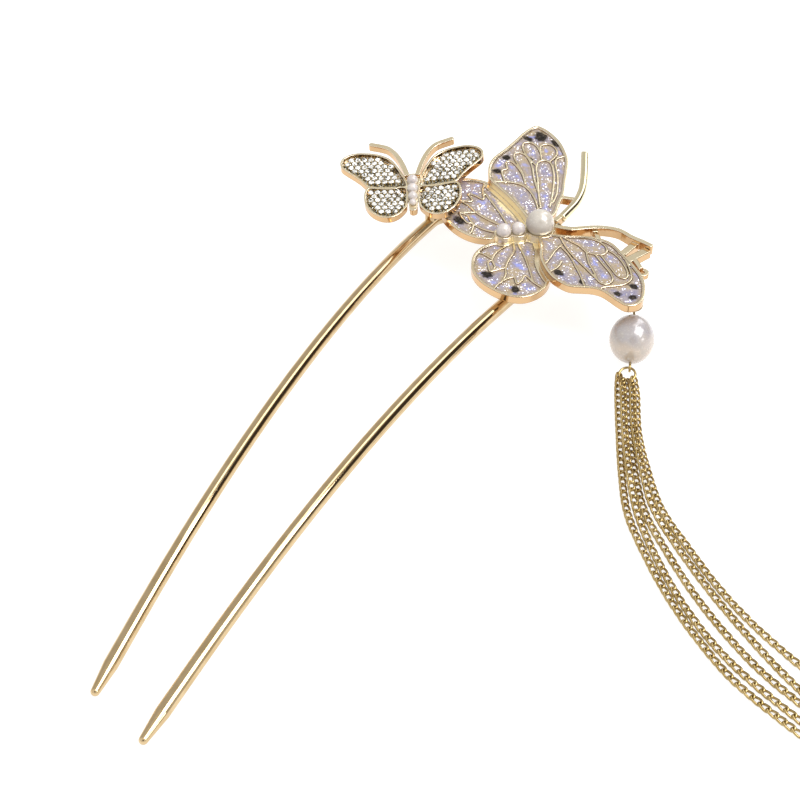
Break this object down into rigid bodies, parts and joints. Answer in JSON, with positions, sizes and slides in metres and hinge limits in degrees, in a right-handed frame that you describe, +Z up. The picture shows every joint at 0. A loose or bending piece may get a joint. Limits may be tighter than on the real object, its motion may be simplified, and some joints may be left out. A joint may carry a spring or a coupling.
{
  "type": "buyao hairpin",
  "caption": "Two-prong bowed wire hair fork with a large enamelled butterfly, a small stone-set butterfly, a pearl drop and a fine chain tassel.",
  "frame": {"origin": "middle of the outline seen from above, on the table the piece lies on", "axes": "+Y along the fork from the prong tips to the head, +X toward the side of the tassel, +Z up"},
  "size_m": [0.126, 0.161, 0.0168],
  "materials": {
    "gold": "polished light gold plate",
    "enamel": "translucent lilac-grey enamel with fine glitter",
    "pearl": "lustrous white pearl",
    "stones": "clear faceted stones"
  },
  "bodies": {
    "root": {"fork": "gold", "large_butterfly": "gold", "enamel_upper_left": "enamel", "enamel_upper_right": "enamel", "enamel_lower_left": "enamel", "enamel_lower_right": "enamel", "thorax_pearl": "pearl", "abdomen_pearl_front": "pearl", "abdomen_pearl_rear": "pearl", "small_butterfly": "gold", "stones_left": "stones", "stones_right": "stones", "small_pearl_1": "pearl", "small_pearl_2": "pearl", "small_pearl_3": "pearl", "small_pearl_4": "pearl", "drop_link": "gold", "drop_pin": "gold", "drop_pearl": "pearl", "tassel_ring": "gold", "chain_1": "gold", "chain_2": "gold", "chain_3": "gold", "chain_4": "gold", "chain_5": "gold"}
  },
  "joints": []
}
